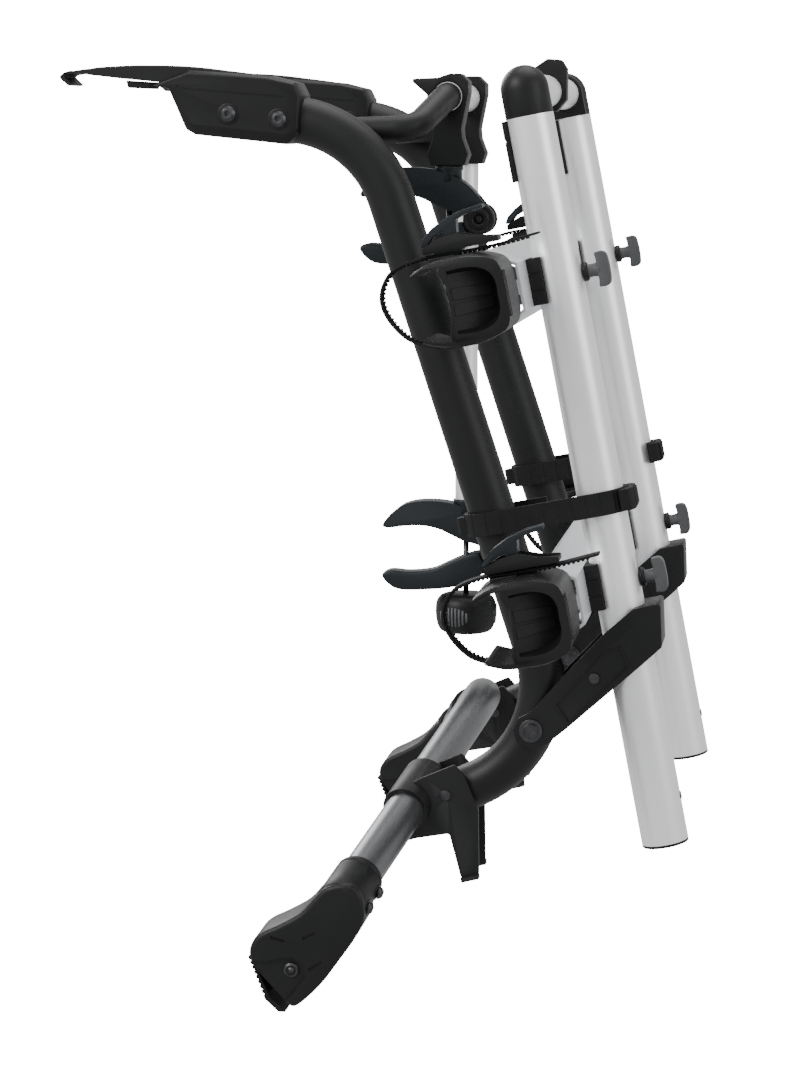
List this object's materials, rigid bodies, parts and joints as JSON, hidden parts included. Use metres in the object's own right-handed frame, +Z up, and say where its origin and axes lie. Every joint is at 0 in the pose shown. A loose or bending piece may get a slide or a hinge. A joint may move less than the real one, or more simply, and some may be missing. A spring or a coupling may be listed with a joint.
{
  "type": "bike rack",
  "caption": "Folding rear-door bicycle carrier: hooked upright frame, fold-down tray arms, wheel rails with ratchet straps and swinging frame clamps.",
  "frame": {"origin": "the fold axis of the platform, midway between the two main tubes", "axes": "+X away from the car, +Y across the car, +Z up"},
  "size_m": [0.6255, 0.8574, 0.9036],
  "materials": {
    "black_steel": "satin",
    "black_plastic": "matte",
    "black_rubber": "matte",
    "silver_tube": "satin",
    "silver_rail": "satin",
    "grey_bar": "satin",
    "screw_steel": "satin",
    "grey_plastic": "matte",
    "slate_plastic": "matte"
  },
  "bodies": {
    "frame": {"main_tube_left": "black_steel", "main_tube_right": "black_steel", "upper_hoop": "black_steel", "holder_sleeve": "silver_tube", "hook_housing_left": "black_plastic", "hook_housing_right": "black_plastic", "hook_blade_left": "black_steel", "hook_blade_right": "black_steel", "hook_pads": "black_rubber", "lower_bracket_left": "black_steel", "lower_bracket_right": "black_steel", "foot_bar": "grey_bar", "foot_shoe_left": "black_plastic", "foot_shoe_right": "black_plastic", "frame_screws": "screw_steel", "fold_pivot_bolts": "screw_steel", "stow_straps": "black_rubber"},
    "platform": {"tray_tube_left": "silver_tube", "tray_tube_right": "silver_tube", "tube_caps": "black_plastic", "cross_tube": "silver_tube", "hanger_plate": "black_plastic", "fold_link_left": "black_steel", "fold_link_right": "black_steel", "link_rivets": "screw_steel", "bumper_strips": "black_rubber"},
    "rail_upper": {"wheel_rail_upper": "silver_rail", "rail_saddles_upper": "black_rubber", "wheel_cup_upper_left": "black_plastic", "wheel_cup_upper_right": "black_plastic", "buckle_bases_upper": "black_plastic", "ladder_straps_upper": "black_rubber"},
    "knob_upper_left": {"rail_knob_upper_left": "grey_plastic"},
    "lever_upper_left": {"strap_lever_upper_left": "slate_plastic"},
    "knob_upper_right": {"rail_knob_upper_right": "grey_plastic"},
    "lever_upper_right": {"strap_lever_upper_right": "slate_plastic"},
    "rail_lower": {"wheel_rail_lower": "silver_rail", "rail_saddles_lower": "black_rubber", "wheel_cup_lower_left": "black_plastic", "wheel_cup_lower_right": "black_plastic", "buckle_bases_lower": "black_plastic", "ladder_straps_lower": "black_rubber"},
    "knob_lower_left": {"rail_knob_lower_left": "grey_plastic"},
    "lever_lower_left": {"strap_lever_lower_left": "slate_plastic"},
    "knob_lower_right": {"rail_knob_lower_right": "grey_plastic"},
    "lever_lower_right": {"strap_lever_lower_right": "slate_plastic"},
    "arm_short": {"arm_head_short": "black_plastic", "arm_pole_short": "silver_tube", "jaw_body_short": "slate_plastic"},
    "claw_short": {"jaw_claw_short": "slate_plastic"},
    "clamp_short": {"clamp_knob_short": "black_plastic"},
    "arm_long": {"arm_head_long": "black_plastic", "arm_pole_long": "silver_tube", "jaw_body_long": "slate_plastic"},
    "claw_long": {"jaw_claw_long": "slate_plastic"},
    "clamp_long": {"clamp_knob_long": "black_plastic"},
    "foot_left": {"foot_pad_left": "black_rubber"},
    "foot_right": {"foot_pad_right": "black_rubber"}
  },
  "joints": [
    {"name": "platform_fold", "type": "hinge", "parent": "frame", "child": "platform", "pos_m": [0, 0, 0], "axis": [0, 1, 0], "range_deg": [0, 88], "deforming": ["stow_straps"]},
    {"name": "rail_upper_slide", "type": "slide", "parent": "platform", "child": "rail_upper", "axis": [-0.1925, 0, 0.9813], "range_m": [0, 0.02]},
    {"name": "knob_upper_left_turn", "type": "hinge", "parent": "rail_upper", "child": "knob_upper_left", "pos_m": [0.02248, -0.21, 0.4461], "axis": [0.9813, 0, 0.1925], "continuous": true},
    {"name": "lever_upper_left_open", "type": "hinge", "parent": "rail_upper", "child": "lever_upper_left", "pos_m": [-0.06484, -0.3485, 0.48603], "axis": [0, 1, 0], "range_deg": [0, 35]},
    {"name": "knob_upper_right_turn", "type": "hinge", "parent": "rail_upper", "child": "knob_upper_right", "pos_m": [0.02248, 0.21, 0.4461], "axis": [0.9813, 0, 0.1925], "continuous": true},
    {"name": "lever_upper_right_open", "type": "hinge", "parent": "rail_upper", "child": "lever_upper_right", "pos_m": [-0.06484, 0.3485, 0.48603], "axis": [0, 1, 0], "range_deg": [0, 35]},
    {"name": "rail_lower_slide", "type": "slide", "parent": "platform", "child": "rail_lower", "axis": [-0.1925, 0, 0.9813], "range_m": [0, 0.02]},
    {"name": "knob_lower_left_turn", "type": "hinge", "parent": "rail_lower", "child": "knob_lower_left", "pos_m": [0.08116, -0.21, 0.147], "axis": [0.9813, 0, 0.1925], "continuous": true},
    {"name": "lever_lower_left_open", "type": "hinge", "parent": "rail_lower", "child": "lever_lower_left", "pos_m": [-0.00616, -0.3485, 0.18693], "axis": [0, 1, 0], "range_deg": [0, 35]},
    {"name": "knob_lower_right_turn", "type": "hinge", "parent": "rail_lower", "child": "knob_lower_right", "pos_m": [0.08116, 0.21, 0.147], "axis": [0.9813, 0, 0.1925], "continuous": true},
    {"name": "lever_lower_right_open", "type": "hinge", "parent": "rail_lower", "child": "lever_lower_right", "pos_m": [-0.00616, 0.3485, 0.18693], "axis": [0, 1, 0], "range_deg": [0, 35]},
    {"name": "arm_short_swing", "type": "hinge", "parent": "frame", "child": "arm_short", "pos_m": [-0.103, -0.085, 0.621], "axis": [0, 1, 0], "range_deg": [-4, 75]},
    {"name": "clamp_short_turn", "type": "hinge", "parent": "arm_short", "child": "clamp_short", "pos_m": [-0.103, -0.085, 0.498], "axis": [0, 0, 1], "range_deg": [0, 1440]},
    {"name": "claw_short_close", "type": "hinge", "parent": "arm_short", "child": "claw_short", "pos_m": [-0.071, -0.085, 0.498], "axis": [0, 1, 0], "range_deg": [0, 14]},
    {"name": "arm_long_swing", "type": "hinge", "parent": "frame", "child": "arm_long", "pos_m": [-0.103, 0.06, 0.621], "axis": [0, 1, 0], "range_deg": [-6, 75]},
    {"name": "clamp_long_turn", "type": "hinge", "parent": "arm_long", "child": "clamp_long", "pos_m": [-0.103, 0.06, 0.138], "axis": [0, 0, 1], "range_deg": [0, 1440]},
    {"name": "claw_long_close", "type": "hinge", "parent": "arm_long", "child": "claw_long", "pos_m": [-0.071, 0.06, 0.138], "axis": [0, 1, 0], "range_deg": [0, 14]},
    {"name": "foot_left_tilt", "type": "hinge", "parent": "frame", "child": "foot_left", "pos_m": [-0.207, -0.392, -0.199], "axis": [0, 1, 0], "range_deg": [-8, 12]},
    {"name": "foot_right_tilt", "type": "hinge", "parent": "frame", "child": "foot_right", "pos_m": [-0.207, 0.392, -0.199], "axis": [0, 1, 0], "range_deg": [-8, 12]}
  ],
  "couplings": [
    {"joint": "claw_short_close", "follows": "clamp_short_turn", "ratio": 0.0097222},
    {"joint": "claw_long_close", "follows": "clamp_long_turn", "ratio": 0.0097222}
  ]
}
